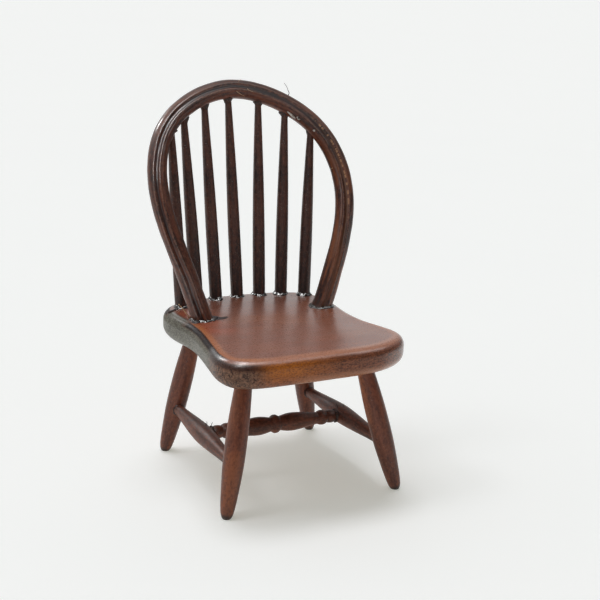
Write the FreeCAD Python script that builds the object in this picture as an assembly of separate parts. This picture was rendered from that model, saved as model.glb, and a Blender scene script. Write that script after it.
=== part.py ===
"""Miniature bow-back Windsor side chair, one-twelfth scale, as separate glued wooden pieces.

Millimetres. X runs to the viewer's right seen from the front, Y to the back and Z up.
The feet stand on Z = 0 and the origin is under the centre of the whole chair's bounding box.
The pieces are laid out from the seat's own centre line first, and moved to that origin last.
"""

import math
import os

import FreeCAD
import Part

Vector = FreeCAD.Vector

# --- seat ---------------------------------------------------------------
SEAT_TOP = 33.0
SEAT_THICKNESS = 6.0
SEAT_TOP_ROUNDING = 2.0
SEAT_BOTTOM_ROUNDING = 2.7
# the plan was cut by hand: its two sides, each from the front round to the back, differ a little
SEAT_FRONT = (0.0, -22.6)
SEAT_RIGHT_SIDE = (
    (9.0, -22.4),
    (15.8, -20.9),
    (19.8, -18.1),
    (21.45, -14.3),
    (20.75, -9.8),
    (18.95, -4.6),
    (18.4, 1.0),
    (18.75, 7.0),
    (18.95, 11.4),
    (18.0, 15.8),
    (15.3, 19.1),
    (10.4, 21.2),
    (5.0, 22.05),
)
SEAT_BACK = (0.0, 22.25)
SEAT_LEFT_SIDE = (
    (-9.0, -22.5),
    (-15.4, -21.95),
    (-19.5, -19.9),
    (-20.95, -16.2),
    (-20.4, -10.8),
    (-19.45, -5.0),
    (-18.65, 1.0),
    (-19.0, 7.0),
    (-19.6, 11.6),
    (-18.95, 16.2),
    (-16.0, 19.7),
    (-10.4, 21.6),
    (-5.0, 22.15),
)

# --- legs ---------------------------------------------------------------
LEG_END_HEIGHT = 30.6
# where each leg's axis meets the floor, and where it ends inside the seat
LEG_PLACES = {
    "leg_front_left": ((-19.05, -18.45), (-12.63, -12.08)),
    "leg_front_right": ((19.65, -19.05), (12.64, -12.09)),
    "leg_rear_left": ((-17.6, 17.4), (-11.81, 14.26)),
    "leg_rear_right": ((18.15, 16.65), (11.82, 14.12)),
}
# the rounding of a foot: distance up the leg's axis and radius there
FOOT_PROFILE = ((-0.45, 0.42), (-0.15, 0.74), (0.15, 0.96), (0.55, 1.15), (1.1, 1.31))
# the leg above it: distance up the leg's axis and radius there
LEG_PROFILE = (
    (2.2, 1.49),
    (5.9, 1.84),
    (10.6, 2.14),
    (14.4, 2.20),
    (19.0, 2.14),
    (22.0, 2.00),
    (25.8, 1.77),
    (28.4, 1.63),
    (33.0, 1.40),
)

# --- stretchers ---------------------------------------------------------
# height of a side stretcher's axis at its front and rear ends
LEFT_STRETCHER_HEIGHTS = (10.3, 10.3)
RIGHT_STRETCHER_HEIGHTS = (9.95, 10.3)
SIDE_STRETCHER_INSET = 0.7
# share of the length from the front end, and radius there
SIDE_STRETCHER_PROFILE = (
    (0.0, 1.16),
    (0.10, 1.24),
    (0.25, 1.58),
    (0.40, 1.93),
    (0.50, 2.04),
    (0.60, 1.93),
    (0.75, 1.58),
    (0.90, 1.24),
    (1.0, 1.16),
)
MIDDLE_STRETCHER_INSET = 0.7
# one half of the turned middle stretcher: distance from its middle and radius there
MIDDLE_BEAD = ((0.0, 1.98), (0.45, 1.90), (0.95, 1.58), (1.15, 1.52))
MIDDLE_BARREL = ((1.15, 1.52), (1.9, 1.70), (3.2, 1.92), (4.6, 1.94), (6.6, 1.74), (8.6, 1.46), (10.1, 1.28))
OUTER_BEAD = ((10.1, 1.28), (10.5, 1.48), (11.2, 1.62), (11.9, 1.48), (12.3, 1.24))
END_BEAD = ((12.3, 1.24), (12.7, 1.36), (13.4, 1.44), (14.0, 1.34), (14.4, 1.14))
MIDDLE_END_RADIUS = 1.14

# --- bow ----------------------------------------------------------------
BOW_FOOT_HALF_SPACING = 14.3
BOW_FOOT_DEPTH = 6.85
BOW_OFFSET = 0.25
BOW_RISE = 48.85
BOW_LEAN_DEG = 23.9
BOW_SAG = 4.65
# half width of the bow's centre line at these shares of its rise
BOW_HALF_WIDTHS = ((0.2, 17.15), (0.4, 20.25), (0.6, 21.5), (0.82, 18.1), (0.94, 11.0))
BOW_FOOT_RADIUS = 2.16
BOW_RADIUS = 2.04
GROOVE_DEPTH = 0.40
GROOVE_WIDTH_DEG = 14.0
# where the groove runs: share of the bow's length from its left foot, and degrees round the stick from
# its front towards the outside of the bend
GROOVE_TURNS = (
    (0.0, 8.0),
    (0.14, 22.0),
    (0.26, 28.0),
    (0.38, 30.0),
    (0.50, 26.0),
    (0.64, 0.0),
    (0.78, -18.0),
    (1.0, -21.0),
)
BOW_SECTIONS = 33

# --- spindles, left to right ---------------------------------------------
SPINDLE_FOOT_X = (-14.8, -10.15, -5.25, 0.0, 5.25, 10.15, 14.8)
SPINDLE_FOOT_Y = (16.3, 18.6, 19.6, 19.95, 19.6, 18.6, 16.3)
# the holes along the bow are spaced by eye
SPINDLE_TOP_X = (-15.7, -12.2, -6.7, -0.65, 6.25, 12.05, 17.15)
# share of the visible length and radius there
SPINDLE_PROFILE = (
    (0.0, 1.35),
    (0.12, 1.37),
    (0.35, 1.33),
    (0.55, 1.20),
    (0.75, 0.97),
    (0.90, 0.76),
    (1.0, 0.68),
)

# --- sockets ------------------------------------------------------------
SOCKET_DEPTH = 3.6
LEG_SOCKET_DEPTH = 7.5
SPINDLE_TOP_DEPTH = 1.1
GLUE_GAP = 0.06
END_GAP = 0.25
# how far a hole tool runs out past the surface it starts from
SEAT_TOOL_RUN_OUT = 2.5
BOW_TOOL_RUN_OUT = 1.6
SIDE_STRETCHER_TOOL = 3.2
MIDDLE_STRETCHER_TOOL = 2.2


def spline(points, closed=False):
    """A smooth curve through the points."""
    curve = Part.BSplineCurve()
    curve.interpolate(Points=points, PeriodicFlag=closed)
    return curve


def along(start, end, distance):
    """The point at a distance from start towards end."""
    return start + (end - start).normalize() * distance


def place_on_axis(shape, start, end):
    """Turns a solid made along +Z so that its axis runs from start to end."""
    turn = FreeCAD.Rotation(Vector(0, 0, 1), end - start)
    shape.Placement = FreeCAD.Placement(start, turn)
    return shape


def turned(sections, start, end):
    """A turned solid. Each section is a smooth run of (distance, radius) points."""
    first = sections[0][0]
    last = sections[-1][-1]
    edges = [Part.makeLine(Vector(0, 0, first[0]), Vector(first[1], 0, first[0]))]
    for section in sections:
        points = [Vector(radius, 0, distance) for distance, radius in section]
        if len(points) == 2:
            edges.append(Part.makeLine(points[0], points[1]))
        else:
            edges.append(spline(points).toShape())
    edges.append(Part.makeLine(Vector(last[1], 0, last[0]), Vector(0, 0, last[0])))
    edges.append(Part.makeLine(Vector(0, 0, last[0]), Vector(0, 0, first[0])))
    face = Part.Face(Part.Wire(edges))
    solid = face.revolve(Vector(0, 0, 0), Vector(0, 0, 1), 360)
    return place_on_axis(Part.Solid(solid.Shells[0]), start, end)


def drill(start, end, start_radius, end_radius):
    """A straight or tapered hole tool from start to end."""
    length = (end - start).Length
    if abs(start_radius - end_radius) < 1e-6:
        tool = Part.makeCylinder(start_radius, length)
    else:
        tool = Part.makeCone(start_radius, end_radius, length)
    return place_on_axis(tool, start, end)


def profile_value(profile, position):
    """The value a profile of (position, value) pairs has at a position, taken straight between its points."""
    for (low, low_value), (high, high_value) in zip(profile, profile[1:]):
        if position <= high:
            share = (position - low) / (high - low)
            return low_value + share * (high_value - low_value)
    return profile[-1][1]


# --- legs ---------------------------------------------------------------
def leg_axis(name):
    """Floor point and top point of a leg's axis."""
    foot, top = LEG_PLACES[name]
    return Vector(foot[0], foot[1], 0), Vector(top[0], top[1], LEG_END_HEIGHT)


def point_at_height(axis, height):
    """The point of a leg's axis at a height."""
    start, end = axis
    return start + (end - start) * (height / end.z)


def make_leg(axis):
    """A turned leg with a rounded foot that is flat where it meets the floor."""
    start, end = axis
    length = (end - start).Length
    profile = [point for point in LEG_PROFILE if point[0] < length - 1.0]
    profile.append((length, profile_value(LEG_PROFILE, length)))
    solid = turned([FOOT_PROFILE + tuple(profile)], start, end)
    above_floor = Part.makeBox(100, 100, 60, Vector(-50, -50, 0))
    return solid.common(above_floor).Solids[0]


def leg_socket(axis):
    """The tapered hole in the seat that takes the leg's top."""
    start, end = axis
    length = (end - start).Length
    mouth = length - LEG_SOCKET_DEPTH
    mouth_radius = profile_value(LEG_PROFILE, mouth) + GLUE_GAP
    end_radius = profile_value(LEG_PROFILE, length) + GLUE_GAP
    return drill(along(start, end, mouth), along(start, end, length + END_GAP), mouth_radius, end_radius)


# --- bow ----------------------------------------------------------------
def bow_plane_point(x, rise):
    """A point of the leaning, slightly hollow surface that the bow is bent in."""
    lean = math.radians(BOW_LEAN_DEG)
    share = rise / BOW_RISE
    sag = 4.0 * BOW_SAG * share * (1.0 - share)
    return Vector(
        x,
        BOW_FOOT_DEPTH + rise * math.sin(lean) - sag,
        SEAT_TOP + rise * math.cos(lean),
    )


def bow_flat_curve():
    """The bow's centre line laid flat: x across and y as the rise."""
    right = [(BOW_FOOT_HALF_SPACING, 0.0)]
    right += [(width, share * BOW_RISE) for share, width in BOW_HALF_WIDTHS]
    points = [Vector(BOW_OFFSET - x, rise, 0) for x, rise in right]
    points.append(Vector(BOW_OFFSET, BOW_RISE, 0))
    points += [Vector(BOW_OFFSET + x, rise, 0) for x, rise in reversed(right)]
    return spline(points)


def bow_centre_line():
    """The bow's centre line in space, with a straight run into the seat at each foot."""
    flat = bow_flat_curve()
    samples = flat.discretize(41)
    points = [bow_plane_point(p.x, p.y) for p in samples]
    left_run = (points[0] - points[1]).normalize() * SOCKET_DEPTH
    right_run = (points[-1] - points[-2]).normalize() * SOCKET_DEPTH
    points.insert(0, points[0] + left_run)
    points.append(points[-1] + right_run)
    return spline(points)


def bow_top_point(x):
    """The point of the bow's centre line above the seat at a given x, on its upper half."""
    flat = bow_flat_curve()
    upper = [p for p in flat.discretize(801) if p.y > 0.5 * BOW_RISE]
    nearest = min(upper, key=lambda p: abs(p.x - x))
    return bow_plane_point(nearest.x, nearest.y)


def bow_section(centre, tangent, share):
    """The bow's cross-section: a round stick with one soft groove along it."""
    middle = Vector(BOW_OFFSET, centre.y, SEAT_TOP + 0.5 * BOW_RISE)
    outward = centre - middle
    outward = (outward - tangent * outward.dot(tangent)).normalize()
    front = tangent.cross(outward)
    if front.y > 0:
        front = front * -1
    turn = math.radians(profile_value(GROOVE_TURNS, share))
    towards_groove = front * math.cos(turn) + outward * math.sin(turn)
    sideways = tangent.cross(towards_groove)
    rise_share = max(0.0, min(1.0, (centre.z - SEAT_TOP) / (0.35 * BOW_RISE)))
    radius = BOW_FOOT_RADIUS + (BOW_RADIUS - BOW_FOOT_RADIUS) * rise_share
    spread = math.radians(GROOVE_WIDTH_DEG)
    angles = [8.0 * step for step in range(-5, 6)]
    angles += [40.0 + 20.0 * step for step in range(1, 14)]
    points = []
    for degrees in angles:
        angle = math.radians(degrees)
        groove = GROOVE_DEPTH * math.exp(-((angle / spread) ** 2)) if abs(degrees) < 90 else 0.0
        reach = radius - groove
        points.append(
            centre + towards_groove * (reach * math.cos(angle)) + sideways * (reach * math.sin(angle))
        )
    return Part.Wire([spline(points, closed=True).toShape()])


def make_bow():
    """The bent bow, lofted through cross-sections along its centre line."""
    line = bow_centre_line()
    length = line.length()
    sections = []
    for index in range(BOW_SECTIONS):
        share = index / (BOW_SECTIONS - 1)
        parameter = line.parameterAtDistance(share * length, line.FirstParameter)
        centre = line.value(parameter)
        tangent = Vector(*line.tangent(parameter)[0])
        sections.append(bow_section(centre, tangent, share))
    return Part.makeLoft(sections, True, False)


def bow_socket(side):
    """The round hole in the seat that takes a foot of the bow."""
    line = bow_centre_line()
    points = line.discretize(60)
    if side > 0:
        points.reverse()
    inner = points[0]
    run = SOCKET_DEPTH + SEAT_TOOL_RUN_OUT
    outer = along(inner, points[3], run)
    deep = along(outer, inner, run + END_GAP)
    radius = BOW_FOOT_RADIUS + GLUE_GAP
    return drill(deep, outer, radius, radius)


# --- spindles -----------------------------------------------------------
def spindle_axis(index):
    """Seat point and bow point of a spindle's axis."""
    foot = Vector(SPINDLE_FOOT_X[index], SPINDLE_FOOT_Y[index], SEAT_TOP)
    return foot, bow_top_point(SPINDLE_TOP_X[index])


def make_spindle(axis):
    """A tapered spindle from its socket in the seat to its hole in the bow."""
    foot, top = axis
    visible = (top - foot).Length
    profile = [(-SOCKET_DEPTH, SPINDLE_PROFILE[0][1] - 0.06)]
    profile += [(share * visible, radius) for share, radius in SPINDLE_PROFILE[:-1]]
    profile.append((visible - BOW_RADIUS, SPINDLE_PROFILE[-1][1]))
    end = visible - BOW_RADIUS + SPINDLE_TOP_DEPTH
    straight = ((profile[-1][0], profile[-1][1]), (end, profile[-1][1]))
    return turned([tuple(profile), straight], foot, top)


def spindle_seat_socket(axis):
    """The hole in the seat for a spindle's foot."""
    foot, top = axis
    radius = max(SPINDLE_PROFILE[0][1], SPINDLE_PROFILE[1][1]) + GLUE_GAP
    deep = along(foot, top, -SOCKET_DEPTH - END_GAP)
    return drill(deep, along(foot, top, SEAT_TOOL_RUN_OUT), radius, radius)


def spindle_bow_socket(axis):
    """The hole in the underside of the bow for a spindle's top."""
    foot, top = axis
    visible = (top - foot).Length
    radius = SPINDLE_PROFILE[-1][1] + GLUE_GAP
    deep = along(foot, top, visible - BOW_RADIUS + SPINDLE_TOP_DEPTH + END_GAP)
    mouth = along(foot, top, visible - BOW_RADIUS - BOW_TOOL_RUN_OUT)
    mouth_radius = profile_value(SPINDLE_PROFILE, 1.0 - BOW_TOOL_RUN_OUT / visible) + 2 * GLUE_GAP
    return drill(deep, mouth, radius, mouth_radius)


# --- the seat's solid ---------------------------------------------------
def level_edges(shape, height):
    """The edges of a shape that lie flat at a height."""
    found = []
    for edge in shape.Edges:
        box = edge.BoundBox
        if box.ZLength < 0.01 and abs(box.ZMin - height) < 0.01:
            found.append(edge)
    return found


def make_seat():
    """The seat plank: a shaped plan with a rounded edge all round."""
    plan = [SEAT_FRONT, *SEAT_RIGHT_SIDE, SEAT_BACK, *reversed(SEAT_LEFT_SIDE)]
    outline = spline([Vector(x, y, 0) for x, y in plan], closed=True).toShape()
    plank = Part.Face(Part.Wire([outline])).extrude(Vector(0, 0, SEAT_THICKNESS))
    plank = plank.makeFillet(SEAT_TOP_ROUNDING, level_edges(plank, SEAT_THICKNESS))
    plank = plank.makeFillet(SEAT_BOTTOM_ROUNDING, level_edges(plank, 0))
    plank.translate(Vector(0, 0, SEAT_TOP - SEAT_THICKNESS))
    return plank.Solids[0]


# --- stretchers ---------------------------------------------------------
def side_stretcher_axis(front_leg, rear_leg, heights):
    """Ends of a side stretcher's axis, a little short of the legs' own axes."""
    front = point_at_height(front_leg, heights[0])
    rear = point_at_height(rear_leg, heights[1])
    return along(front, rear, SIDE_STRETCHER_INSET), along(rear, front, SIDE_STRETCHER_INSET)


def make_side_stretcher(axis):
    """A side stretcher that swells towards its middle."""
    start, end = axis
    length = (end - start).Length
    section = tuple((share * length, radius) for share, radius in SIDE_STRETCHER_PROFILE)
    return turned([section], start, end)


def side_stretcher_socket(axis, at_start):
    """The hole in a leg for one end of a side stretcher."""
    start, end = axis if at_start else (axis[1], axis[0])
    tip = SIDE_STRETCHER_PROFILE[0][1]
    length = (end - start).Length
    mouth = SIDE_STRETCHER_TOOL
    mouth_radius = profile_value(SIDE_STRETCHER_PROFILE, mouth / length) + 1.4 * GLUE_GAP
    return drill(along(start, end, -END_GAP), along(start, end, mouth), tip + GLUE_GAP, mouth_radius)


def middle_stretcher_axis(left_axis, right_axis):
    """Ends of the middle stretcher's axis, a little short of the side stretchers' axes."""
    left = (left_axis[0] + left_axis[1]) * 0.5
    right = (right_axis[0] + right_axis[1]) * 0.5
    return along(left, right, MIDDLE_STRETCHER_INSET), along(right, left, MIDDLE_STRETCHER_INSET)


def make_middle_stretcher(axis):
    """The turned middle stretcher: a bead, two barrels and two beads at each end."""
    start, end = axis
    half = 0.5 * (end - start).Length
    right = [MIDDLE_BEAD, MIDDLE_BARREL, OUTER_BEAD, END_BEAD]
    right.append(((END_BEAD[-1][0], MIDDLE_END_RADIUS), (half, MIDDLE_END_RADIUS)))
    sections = []
    for section in reversed(right):
        sections.append(tuple((half - distance, radius) for distance, radius in reversed(section)))
    for section in right:
        sections.append(tuple((half + distance, radius) for distance, radius in section))
    return turned(sections, start, end)


def middle_stretcher_socket(axis, at_start):
    """The hole in a side stretcher for one end of the middle stretcher."""
    start, end = axis if at_start else (axis[1], axis[0])
    radius = MIDDLE_END_RADIUS + GLUE_GAP
    return drill(along(start, end, -END_GAP), along(start, end, MIDDLE_STRETCHER_TOOL), radius, radius)


# --- assembly -----------------------------------------------------------
def build():
    """All pieces in place, each with its sockets cut."""
    leg_axes = {name: leg_axis(name) for name in LEG_PLACES}
    left_axis = side_stretcher_axis(
        leg_axes["leg_front_left"], leg_axes["leg_rear_left"], LEFT_STRETCHER_HEIGHTS
    )
    right_axis = side_stretcher_axis(
        leg_axes["leg_front_right"], leg_axes["leg_rear_right"], RIGHT_STRETCHER_HEIGHTS
    )
    middle_axis = middle_stretcher_axis(left_axis, right_axis)
    spindle_axes = [spindle_axis(index) for index in range(len(SPINDLE_FOOT_X))]

    pieces = {}
    seat_tools = [leg_socket(axis) for axis in leg_axes.values()]
    seat_tools += [spindle_seat_socket(axis) for axis in spindle_axes]
    seat_tools += [bow_socket(-1), bow_socket(1)]
    pieces["seat"] = make_seat().cut(seat_tools)

    for name, axis in leg_axes.items():
        stretcher = left_axis if name.endswith("left") else right_axis
        socket = side_stretcher_socket(stretcher, at_start="front" in name)
        pieces[name] = make_leg(axis).cut(socket)

    pieces["stretcher_left"] = make_side_stretcher(left_axis).cut(
        middle_stretcher_socket(middle_axis, at_start=True)
    )
    pieces["stretcher_right"] = make_side_stretcher(right_axis).cut(
        middle_stretcher_socket(middle_axis, at_start=False)
    )
    pieces["stretcher_middle"] = make_middle_stretcher(middle_axis)

    pieces["bow"] = make_bow().cut([spindle_bow_socket(axis) for axis in spindle_axes])
    for index, axis in enumerate(spindle_axes):
        pieces["spindle_%d" % (index + 1)] = make_spindle(axis)
    return pieces


def main():
    pieces = build()
    whole = Part.makeCompound(list(pieces.values())).optimalBoundingBox(True, False)
    shift = Vector(-whole.Center.x, -whole.Center.y, -whole.ZMin)
    os.makedirs("parts", exist_ok=True)
    for name, shape in pieces.items():
        shape = shape.Solids[0] if len(shape.Solids) == 1 else shape
        shape.translate(shift)
        shape.exportStep("parts/%s.step" % name)
        print(name, len(shape.Solids), shape.isValid(), round(shape.Volume, 2))
    print("size", whole.XLength, whole.YLength, whole.ZLength, "shift", shift)


main()
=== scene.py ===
"""Looks of the miniature bow-back Windsor side chair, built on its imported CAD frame.

Blender 4.5, metres, the CAD's own frame. Straight turned pieces keep their CAD nodes and get wood whose
grain runs along each stick. The seat and the bow are rebuilt as finer meshes that carry their own grain.
Dried glue, a splinter, burrs and fibres are extra pieces, placed from the frame.
"""

import math
import random

import bpy
import numpy as np
from mathutils import Matrix, Vector, geometry, noise


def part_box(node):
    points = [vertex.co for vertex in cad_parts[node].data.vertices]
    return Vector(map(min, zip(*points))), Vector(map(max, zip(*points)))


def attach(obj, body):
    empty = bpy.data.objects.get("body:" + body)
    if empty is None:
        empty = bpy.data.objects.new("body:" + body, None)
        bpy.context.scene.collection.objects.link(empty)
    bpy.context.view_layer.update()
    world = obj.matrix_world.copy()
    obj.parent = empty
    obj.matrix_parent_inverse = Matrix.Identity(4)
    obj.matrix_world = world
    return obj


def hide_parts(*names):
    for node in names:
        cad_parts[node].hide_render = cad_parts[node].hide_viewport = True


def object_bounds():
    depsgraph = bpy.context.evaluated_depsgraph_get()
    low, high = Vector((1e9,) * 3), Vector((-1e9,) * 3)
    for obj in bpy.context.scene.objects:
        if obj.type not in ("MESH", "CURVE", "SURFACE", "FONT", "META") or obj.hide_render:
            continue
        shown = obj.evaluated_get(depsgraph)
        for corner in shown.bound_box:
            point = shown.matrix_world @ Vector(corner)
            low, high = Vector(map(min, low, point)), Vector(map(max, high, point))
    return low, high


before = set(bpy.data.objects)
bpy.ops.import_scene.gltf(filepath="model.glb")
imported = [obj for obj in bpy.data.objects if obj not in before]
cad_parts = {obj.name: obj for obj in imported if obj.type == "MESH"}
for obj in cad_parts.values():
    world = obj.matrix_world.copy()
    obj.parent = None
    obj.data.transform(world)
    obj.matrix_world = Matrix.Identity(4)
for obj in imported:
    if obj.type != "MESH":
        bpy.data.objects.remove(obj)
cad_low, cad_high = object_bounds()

MM = 0.001
BODY = "root"
SPINDLES = [f"spindle_{number}" for number in range(1, 8)]
LEGS = ["leg_front_left", "leg_front_right", "leg_rear_left", "leg_rear_right"]
SIDE_STRETCHERS = ["stretcher_left", "stretcher_right"]

# ---- seat: edge roundings, as in the CAD ----
SEAT_TOP_ROUNDING = 2.0 * MM
SEAT_BOTTOM_ROUNDING = 2.7 * MM
SEAT_OUTLINE_POINTS = 320
SEAT_TOP_ROWS, SEAT_BOTTOM_ROWS = 44, 16
# about how far the underside's middle is from its rim
UNDERSIDE_WAY = 20 * MM
# unevenness that hand sanding left: how wide its swells are and how high
TOP_SWELLS = (9 * MM, 0.10 * MM)
TOP_RIPPLES = (3.5 * MM, 0.03 * MM)
SIDE_SWELLS = (5 * MM, 0.05 * MM)

# ---- bow: radius as in the CAD, with a narrower groove between two lips ----
BOW_FOOT_RADIUS = 2.16 * MM
BOW_RADIUS = 2.04 * MM
BOW_WIDEST_SHARE = 0.58
# degrees round the bow's middle, from its crown, to its feet and to where it starts to thicken
BOW_END_TURN = 150
BOW_SWELL_TURN = 95
GROOVE_DEPTH = 0.38 * MM
GROOVE_WIDTH_DEG = 11.0
# share of the bow's length from its left foot, and degrees from its front towards the outside
GROOVE_TURNS = ((0.0, 8), (0.14, 22), (0.26, 28), (0.38, 30), (0.50, 26), (0.64, 0), (0.78, -18), (1.0, -21))
# the lips' height, and how far from the groove they lie and how wide they are, in groove widths
LIP_HEIGHT = 0.11 * MM
LIP_PLACE = 1.8
LIP_WIDTH = 0.5
SCRATCH_DEPTH = 0.10 * MM
SCRATCH_WIDTH_DEG = 4.5
SCRATCH_OFFSET_DEG = 30.0
# how far the groove and the scratch wander, in radians, the share by which the groove's depth varies,
# and the height of the grain
GROOVE_SWAY, SCRATCH_SWAY = 0.05, 0.08
GROOVE_DEPTH_CHANGE = 0.3
BOW_GRAIN_RELIEF = 0.03 * MM
BOW_STATIONS = 300
BOW_SIDES = 108

# ---- joints, as in the CAD ----
SPINDLE_TOP_DEPTH = 1.1 * MM
LEG_RADIUS_AT_STRETCHERS = 2.12 * MM
STRETCHER_MIDDLE_RADIUS = 2.04 * MM

scene = bpy.context.scene


# ---- measuring the frame ----
def vertices_of(node):
    """All vertices of a CAD node, as an array."""
    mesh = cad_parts[node].data
    places = np.zeros(len(mesh.vertices) * 3)
    mesh.vertices.foreach_get("co", places)
    return places.reshape(-1, 3)


def stick_axis(node, towards):
    """The two ends of a straight piece's axis, the second one on the side that towards points to."""
    places = vertices_of(node)
    middle = (places.min(0) + places.max(0)) / 2
    _, _, directions = np.linalg.svd(places - places.mean(0), full_matrices=False)
    direction = directions[0]
    if direction @ np.array(towards) < 0:
        direction = -direction
    across = places - middle
    reach = across @ direction
    sides = across - np.outer(reach, direction)
    middle = middle + (sides.min(0) + sides.max(0)) / 2
    return Vector(middle + direction * reach.min()), Vector(middle + direction * reach.max())


def at_height(axis, height):
    """The point of an axis at a height."""
    start, end = axis
    return start.lerp(end, (height - start.z) / (end.z - start.z))


# ---- node helpers ----
class Tree:
    """The nodes of a new material, or of the world, linked as they are made."""

    def __init__(self, name, group=bpy.data.materials, shader="Principled BSDF"):
        self.owner = group.new(name)
        self.owner.use_nodes = True
        self.nodes = self.owner.node_tree.nodes
        self.links = self.owner.node_tree.links
        self.shader = self.nodes[shader]

    def feed(self, socket, value):
        """Links a socket's value, or sets it where the value is a constant."""
        if isinstance(value, bpy.types.NodeSocket):
            self.links.new(value, socket)
        elif value is not None:
            socket.default_value = value

    def put(self, name, value):
        """Links or sets one of the shader's inputs."""
        self.feed(self.shader.inputs[name], value)

    def add(self, kind, output, inputs, **settings):
        """One output of a new node, which gets its settings and then its inputs."""
        node = self.nodes.new("ShaderNode" + kind)
        for name, setting in settings.items():
            setattr(node, name, setting)
        for name, value in inputs.items():
            self.feed(node.inputs[name], value)
        return node.outputs[output]

    def coordinates(self, name):
        """Texture coordinates of one kind."""
        return self.add("TexCoord", name, {})

    def attribute(self, name, output="Fac"):
        """A value stored on the mesh, or a vector."""
        return self.add("Attribute", output, {}, attribute_name=name)

    def split(self, vector):
        """A vector's three parts."""
        node = self.nodes.new("ShaderNodeSeparateXYZ")
        self.feed(node.inputs[0], vector)
        return node.outputs

    def math(self, operation, first, second):
        """Two values put together."""
        return self.add("Math", 0, {0: first, 1: second}, operation=operation)

    def times(self, first, *others):
        """The product of values."""
        for other in others:
            first = self.math("MULTIPLY", first, other)
        return first

    def scaled(self, vector, scale):
        """A vector multiplied part by part."""
        return self.add("VectorMath", 0, {0: vector, 1: scale}, operation="MULTIPLY")

    def facing(self, vector, direction):
        """How far a unit vector points along a direction, from -1 to 1."""
        inputs = {0: vector, 1: direction.normalized()}
        return self.add("VectorMath", "Value", inputs, operation="DOT_PRODUCT")

    def noise(self, vector, scale, detail=3.0, roughness=0.55, distortion=0.0):
        """Noise, with cells about 1/scale of the vector's unit large along each direction."""
        settings = {"Scale": 1.0, "Detail": detail, "Roughness": roughness, "Distortion": distortion}
        return self.add("TexNoise", "Fac", {"Vector": self.scaled(vector, scale), **settings})

    def span(self, value, low, high, to_low=0.0, to_high=1.0):
        """A smooth step: value from low to high becomes to_low to to_high."""
        limits = {"From Min": low, "From Max": high, "To Min": to_low, "To Max": to_high}
        return self.add("MapRange", "Result", {"Value": value, **limits}, interpolation_type="SMOOTHSTEP")

    def band(self, value, start, full, fade, end):
        """1 where a value lies between full and fade, falling smoothly to 0 at start and at end."""
        return self.times(self.span(value, start, full), self.span(value, end, fade))

    def mix(self, share, first, second):
        """One colour mixed into another."""
        first, second = ((*c, 1) if isinstance(c, tuple) else c for c in (first, second))
        return self.add("Mix", "Result", {"Factor": share, "A": first, "B": second}, data_type="RGBA")

    def bump(self, height, distance, normal=None):
        """The surface's normal with relief, perhaps on top of other relief."""
        return self.add("Bump", "Normal", {"Distance": distance, "Height": height, "Normal": normal})


def object_coordinates(tree):
    """Millimetres in the chair's own frame."""
    return tree.scaled(tree.coordinates("Object"), (1 / MM, 1 / MM, 1 / MM))


def stick_coordinates(tree, start, end):
    """Millimetres across and along a straight piece: Z runs along it."""
    along = (end - start).normalized()
    side = along.orthogonal().normalized()
    front = along.cross(side)
    turn = Matrix((side, front, along))
    return tree.add("Mapping", "Vector", {
        "Vector": tree.coordinates("Object"), "Scale": (1 / MM, 1 / MM, 1 / MM),
        "Rotation": turn.to_euler("XYZ"), "Location": -(turn @ start) / MM}, vector_type="POINT")


# whitish specks: dust, and painted sparkle highlights
DUST_AND_SPARKLE_COLOUR = (0.30, 0.26, 0.24)


def wood_pattern(tree, place, look):
    """Stained wood's colour, roughness and relief from millimetre coordinates whose Z follows the grain."""
    fibre = tree.noise(place, (3.0, 3.0, 0.30), 5.0, 0.62, 0.4)
    streak = tree.noise(place, (0.95, 0.95, 0.085), 3.0, 0.55, 0.3)
    mottle = tree.noise(place, look["mottle_scale"], 4.0, 0.72)
    zone = tree.noise(place, (0.50, 0.50, 0.09), 2.0, 0.5)
    patch = tree.noise(place, (0.22, 0.22, 0.07), 2.0, 0.5)
    pore = tree.noise(place, (4.6, 4.6, 1.9), 2.0, 0.6)
    dust_and_sparkle = tree.noise(place, (5.2, 5.2, 4.2), 1.0, 0.5)
    parts = {"fibre": fibre, "streak": streak, "mottle": mottle, "zone": zone}
    total = sum(look[name] for name in parts)
    depth = 0.0
    for name, value in parts.items():
        depth = tree.math("ADD", tree.times(value, look[name] / total), depth)
    shade = tree.span(depth, 0.5 - look["contrast"], 0.5 + look["contrast"])
    colour = tree.mix(shade, look["dark"], look["mid"])
    golden = tree.times(tree.span(patch, *look["patch_range"]), look["gold_amount"],
                        tree.span(depth, 0.40, 0.62, 0.3, 1.0))
    colour = tree.mix(golden, colour, look["gold"])
    pores = tree.span(pore, 0.54, 0.70)
    deep_pores = tree.times(pores, look["pores"])
    colour = tree.mix(deep_pores, colour, look["black"])
    # whitish specks of dust, which also stand in for sparkles of light as a painted highlight
    dusty = tree.span(dust_and_sparkle, 0.68, 0.78, 0.0, look["dust_and_sparkle"])
    colour = tree.mix(dusty, colour, DUST_AND_SPARKLE_COLOUR)
    height = tree.math("ADD", tree.times(fibre, look["fibre"]), tree.times(mottle, 0.9))
    height = tree.math("SUBTRACT", height, deep_pores)
    roughness = tree.span(mottle, 0.3, 0.7, *look["rough"])
    return {**parts, "colour": colour, "height": height, "roughness": roughness, "patch": patch}


def finish_wood(tree, pattern, look, place):
    """Connects a pattern to the shader, with varnish lumps over the grain."""
    lumps = tree.noise(place, (0.5, 0.5, 0.22), 2.0, 0.5)
    normal = tree.bump(lumps, look["lump_relief"])
    normal = tree.bump(pattern["height"], look["relief"], normal)
    tree.put("Base Color", pattern["colour"])
    tree.put("Roughness", pattern["roughness"])
    tree.put("Normal", normal)
    tree.put("Specular IOR Level", pattern.get("specular", look["specular"]))
    tree.put("Coat Weight", pattern.get("coat", look["coat"]))
    tree.put("Coat Roughness", look["coat_rough"])
    return tree.owner


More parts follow.
